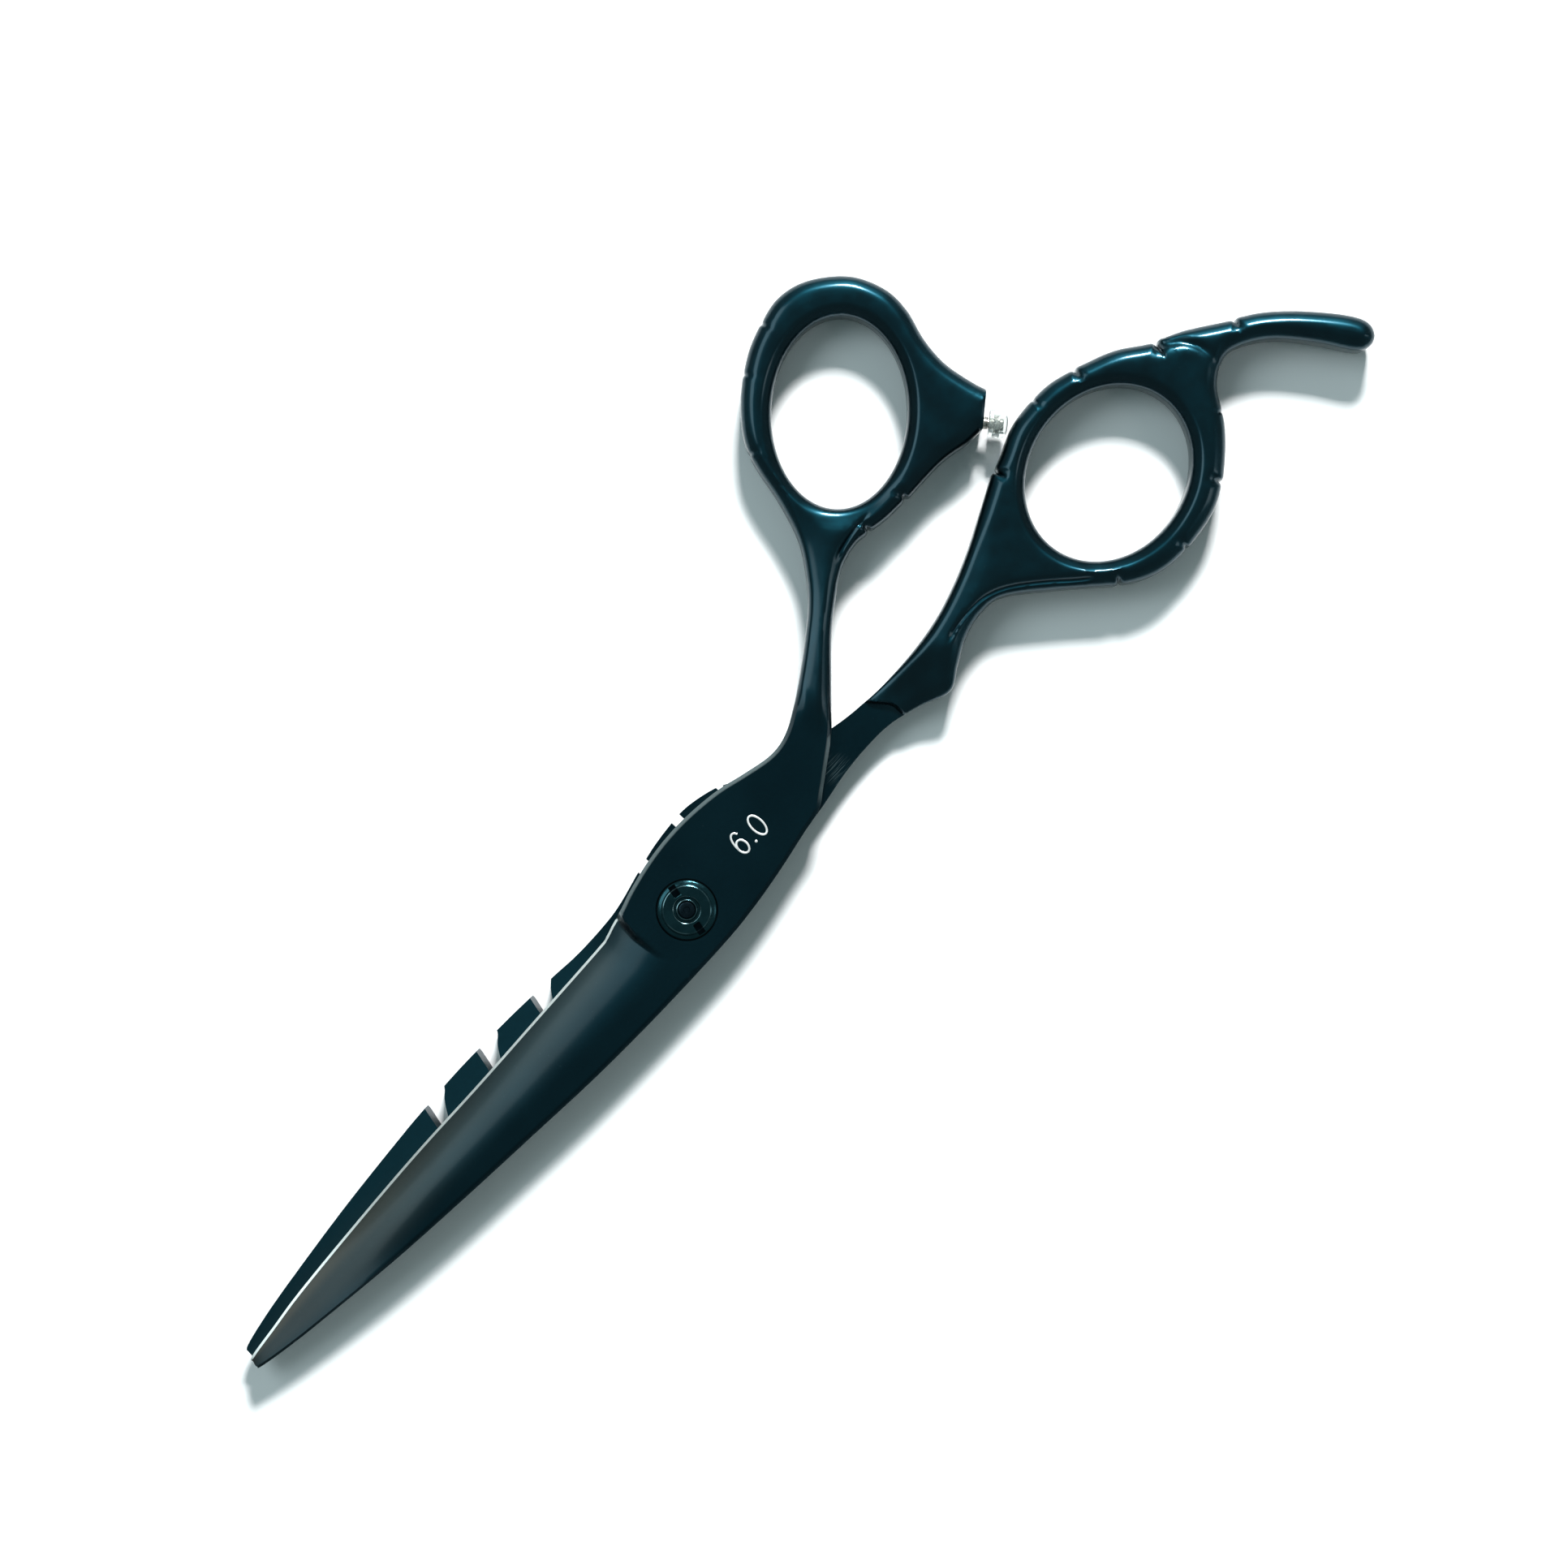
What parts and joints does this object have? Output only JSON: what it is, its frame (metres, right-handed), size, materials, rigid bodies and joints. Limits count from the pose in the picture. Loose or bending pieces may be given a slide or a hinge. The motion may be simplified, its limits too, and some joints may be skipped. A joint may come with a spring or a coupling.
{
  "type": "thinning shears",
  "caption": "Hairdresser's thinning shears: plain upper blade over a toothed, slotted lower blade, offset handles, fixed finger rest, tension dial and bumper.",
  "frame": {"origin": "on the pivot axis, at the outer face of the pivot stud's head, which the shears rest on", "axes": "+X from the pivot to the handles, +Y to the thumb ring, +Z along the pivot axis to the tension dial"},
  "size_m": [0.1679, 0.0516, 0.006],
  "materials": {
    "front_coating": "dark teal black coating, flat satin on the plate, semi gloss on the handle, bright steel at the cutting edge",
    "rear_coating": "dark teal black coating, satin on the blade, semi gloss on the handle",
    "dial_coating": "gloss black",
    "stud_steel": "turned steel",
    "spring_steel": "plain steel",
    "bearing_nylon": "natural nylon",
    "bumper_nickel": "nickel plated",
    "bumper_silicone": "milky translucent silicone"
  },
  "bodies": {
    "rear_half": {"rear_blade": "rear_coating", "rear_handle": "rear_coating", "pivot_stud": "stud_steel", "thrust_washer": "bearing_nylon", "flat_washer": "spring_steel", "spring_washer": "spring_steel"},
    "front_half": {"front_blade": "front_coating", "front_handle": "front_coating", "pivot_bush": "bearing_nylon", "bumper_screw": "bumper_nickel", "bumper_pad": "bumper_silicone"},
    "tension_dial": {"tension_dial": "dial_coating"}
  },
  "joints": [
    {"name": "blade_pivot", "type": "hinge", "parent": "rear_half", "child": "front_half", "pos_m": [0, 0, 0.003], "axis": [0, 0, 1], "range_deg": [0, 110]},
    {"name": "tension_turn", "type": "hinge", "parent": "rear_half", "child": "tension_dial", "pos_m": [0, 0, 0.0055], "axis": [0, 0, 1], "range_deg": [-90, 90]}
  ]
}
